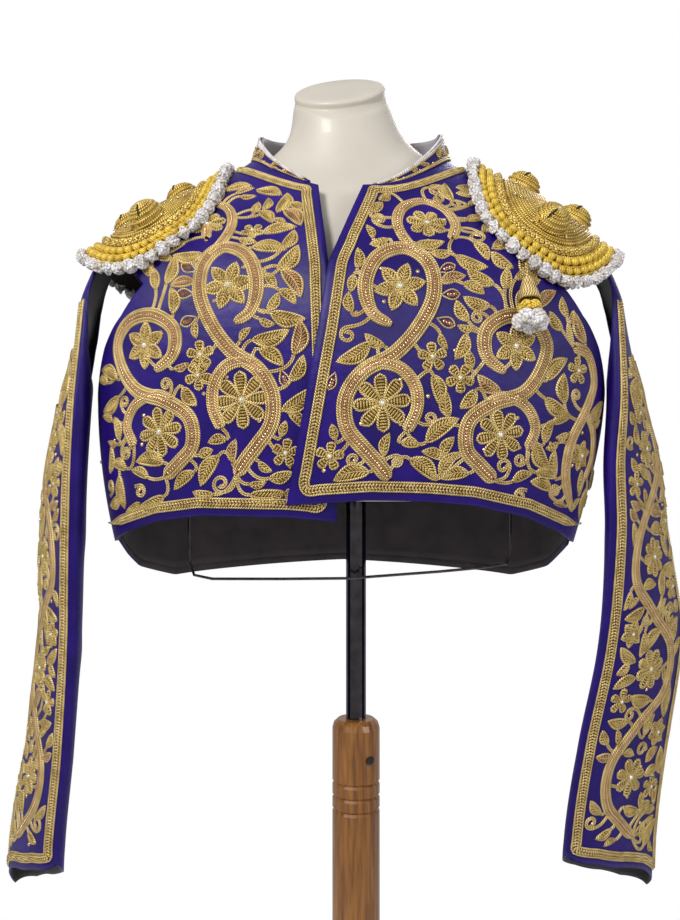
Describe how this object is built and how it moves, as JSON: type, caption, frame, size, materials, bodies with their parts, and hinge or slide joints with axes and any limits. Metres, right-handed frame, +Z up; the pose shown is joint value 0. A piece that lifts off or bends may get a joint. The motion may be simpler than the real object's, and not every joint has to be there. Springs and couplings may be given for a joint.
{
  "type": "picador jacket on its limbless dress form and stand",
  "caption": "Short stiff open-fronted embroidered jacket with stand collar, long hanging sleeves and domed shoulder pieces, worn on a limbless torso form on a pole with a round foot",
  "frame": {"origin": "centre of the round foot's flat underside, on the floor", "axes": "+Z up the pole, -Y to the front of the jacket, +X to the wearer's left"},
  "size_m": [0.6996, 0.32, 1.529],
  "materials": {
    "purple_satin": "satin",
    "grey_lining": "satin",
    "pale_lining": "satin",
    "gold_braid": "metallic thread",
    "gold_scroll": "metallic thread",
    "gold_plate": "metallic thread",
    "yellow_silk": "silk",
    "white_cord": "matte cord",
    "form_white": "smooth",
    "dark_chrome": "polished",
    "turned_wood": "varnished"
  },
  "bodies": {
    "root": {"front_left": "purple_satin", "front_right": "purple_satin", "back": "purple_satin", "collar": "purple_satin", "sleeve_left": "purple_satin", "sleeve_right": "purple_satin", "back_lining": "grey_lining", "collar_lining": "pale_lining", "galon_front_left": "gold_braid", "galon_front_right": "gold_braid", "galon_back": "gold_braid", "galon_sleeve_left": "gold_braid", "galon_sleeve_right": "gold_braid", "hombrera_left_plait": "gold_braid", "hombrera_right_plait": "gold_braid", "tassel_cone": "gold_braid", "scroll_front_left_inner": "gold_scroll", "scroll_front_left_outer": "gold_scroll", "scroll_front_right_inner": "gold_scroll", "scroll_front_right_outer": "gold_scroll", "scroll_back_left": "gold_scroll", "scroll_back_middle": "gold_scroll", "scroll_back_right": "gold_scroll", "scroll_sleeve_left": "gold_scroll", "scroll_sleeve_right": "gold_scroll", "hombrera_left_plate": "gold_plate", "hombrera_right_plate": "gold_plate", "hombrera_left_beads": "yellow_silk", "hombrera_right_beads": "yellow_silk", "tassel_knots": "yellow_silk", "hombrera_left_cord": "white_cord", "hombrera_right_cord": "white_cord", "tassel_pompoms": "white_cord", "form": "form_white", "tube": "dark_chrome", "screw": "dark_chrome", "wire": "dark_chrome", "base": "dark_chrome", "post": "turned_wood"}
  },
  "joints": []
}
